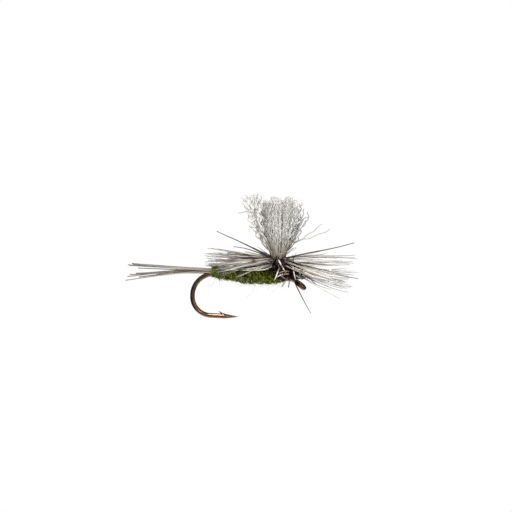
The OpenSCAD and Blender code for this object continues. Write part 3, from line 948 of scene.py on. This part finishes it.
for name, paths, tones, thick, taper in (
        ("sprung_barbs", sprung_barbs(), SPRUNG_TONES, 0.085, 0.55),
        ("draped_barbs", draped_barbs(), DRAPED_TONES, BARB_R, 0.6),
        ("cut_stubs", cut_stubs(), STUB_TONES, 0.085, 0.35),
        ("whisker", whisker(), 0.7, 0.070, 0.6)):
    mesh = barb_strands(name, paths, np.broadcast_to(tones, len(paths)), thick, taper)
    piece(name, mesh, BARB, "hackle")
web = make_web()
piece("web_barbs", barb_strands("web_barbs", web, rng.random(WEB_COUNT), 0.048), web_barb(), "hackle")


# ---------------------------------------------------------------- head

def make_head():
    """The thread head, which tapers down to the neck of the wire."""
    path = shank_winding(HEAD_X0 - 0.1, HEAD_X1 + 0.02, (0.36, 0.26), 0.06)
    return single("head_winding", path, OUTER_THREAD_R, 6)


piece("head_winding", make_head(), THREAD_DARK, "head_thread", "thread_head")


def make_cement():
    """A coat that swells over the wraps and runs out on to the neck of the wire."""
    rings = 12
    path = resample([(HEAD_X0 + 0.15, 0, SHANK_Z), (HEAD_X1 + 0.12, 0, SHANK_Z)], rings)
    radii = np.interp(np.linspace(0, 1, rings), [0, 0.2, 0.5, 1], [0.30, 0.39, 0.39, 0.23])
    return fused("head_gloss", [(path, radii, 24, 1.0)], 0.03, 4)


piece("head_gloss", make_cement(), clear_cement(), "cement", "head_cement")


# ---------------------------------------------------------------- stage, light and camera

FLOOR_HALF, FLOOR_DEPTH = 110, 110
# the side that the light comes from, and its strength from behind the fly (low) to in front of it
LIGHT_SIDE = Vector((0.50, -0.62, 0.62))
LIGHT_RAMP = ((0.30, 0.15), (0.6, 0.5), (0.85, 1.15))
# lamps: name, place and size in metres, and power in watts
LAMPS = (
    ("key", (-0.06, -0.22, 0.30), 0.12, 1.25),
    ("fill", (0.25, -0.12, 0.10), 0.2, 0.25),
    ("glint", (0.075, -0.27, 0.105), 0.05, 0.2))
FLY_MIDDLE = (-0.004, 0, 0.002)


def stage_floor():
    """A sheet of white card well below the fly, which lights it a little from underneath."""
    shader = Shader("floor_paper", roughness=0.9)
    grain = shader.noise(0.05, detail=2)
    shader.drive("Base Color", shader.ramp(grain, (0.3, (0.88, 0.88, 0.88)), (0.7, (0.9, 0.9, 0.9))))
    shader.set("Emission Color", (1, 1, 1, 1))
    shader.set("Emission Strength", 0.85)
    corners = np.array([(-1, -1), (1, -1), (1, 1), (-1, 1)]) * FLOOR_HALF
    corners = np.column_stack([corners, np.full(len(corners), -FLOOR_DEPTH)])
    mesh = write_mesh("floor", corners, [np.array([[0, 1, 2, 3]])])
    mesh.materials.append(shader.material)
    obj = bpy.data.objects.new("floor", mesh)
    bpy.context.scene.collection.objects.link(obj)


def white_surround():
    """Light that is strong from above and in front. The camera sees plain white behind the fly."""
    world = bpy.data.worlds.new("light_tent")
    bpy.context.scene.world = world
    world.use_nodes = True
    nodes, links = world.node_tree.nodes, world.node_tree.links
    background = nodes["Background"]
    background.inputs["Strength"].default_value = 0.72
    seen = nodes.new("ShaderNodeBackground")
    seen.inputs["Color"].default_value = (1, 1, 1, 1)
    where = nodes.new("ShaderNodeTexCoord")
    facing = nodes.new("ShaderNodeVectorMath")
    facing.operation = "DOT_PRODUCT"
    facing.inputs[1].default_value = LIGHT_SIDE.normalized() * 0.5
    links.new(where.outputs["Generated"], facing.inputs[0])
    shift = nodes.new("ShaderNodeMath")
    shift.inputs[1].default_value = 0.5
    links.new(facing.outputs["Value"], shift.inputs[0])
    ramp = nodes.new("ShaderNodeValToRGB")
    elements = ramp.color_ramp.elements
    elements.new(0.5)
    for element, (position, grey) in zip(elements, LIGHT_RAMP):
        element.position, element.color = position, (grey, grey, grey, 1)
    links.new(shift.outputs[0], ramp.inputs["Fac"])
    links.new(ramp.outputs["Color"], background.inputs["Color"])
    path = nodes.new("ShaderNodeLightPath")
    mix = nodes.new("ShaderNodeMixShader")
    links.new(path.outputs["Is Camera Ray"], mix.inputs["Fac"])
    links.new(background.outputs[0], mix.inputs[1])
    links.new(seen.outputs[0], mix.inputs[2])
    links.new(mix.outputs[0], nodes["World Output"].inputs["Surface"])


def softbox(name, place, size, watts):
    """A round area lamp that is aimed at the fly."""
    light = bpy.data.lights.new(name, "AREA")
    light.shape, light.size, light.energy = "DISK", size, watts
    obj = bpy.data.objects.new(name, light)
    obj.location = place
    towards = Vector(FLY_MIDDLE) - Vector(place)
    obj.rotation_euler = towards.to_track_quat("-Z", "Y").to_euler()
    bpy.context.scene.collection.objects.link(obj)


# the view is square, and the eye lies right of its middle and below it
VIEW_WIDTH, EYE_RIGHT, EYE_DOWN = 53.25 * MM, 4.62 * MM, 3.01 * MM
AZIMUTH, ELEVATION, ROLL = math.radians(5), math.radians(8), math.radians(2.2)
LENS, SENSOR = 150.0, 36.0


def make_camera():
    """A long lens that looks at the fly from the camera's side, a little from above."""
    data = bpy.data.cameras.new("camera")
    data.lens, data.sensor_width = LENS, SENSOR
    distance = VIEW_WIDTH * LENS / SENSOR
    data.clip_start, data.clip_end = distance * 0.05, distance * 100
    level = math.cos(ELEVATION)
    back = Vector((math.sin(AZIMUTH) * level, -math.cos(AZIMUTH) * level, math.sin(ELEVATION)))
    turn = back.to_track_quat("Z", "Y").to_matrix() @ Matrix.Rotation(ROLL, 3, "Z")
    target = turn.col[1] * EYE_DOWN - turn.col[0] * EYE_RIGHT
    camera = bpy.data.objects.new("camera", data)
    camera.matrix_world = Matrix.Translation(target + back * distance) @ turn.to_4x4()
    bpy.context.scene.collection.objects.link(camera)
    bpy.context.scene.camera = camera


stage_floor()
white_surround()
for name, place, size, watts in LAMPS:
    softbox(name, place, size, watts)
make_camera()
bpy.context.scene.view_settings.view_transform = "Standard"
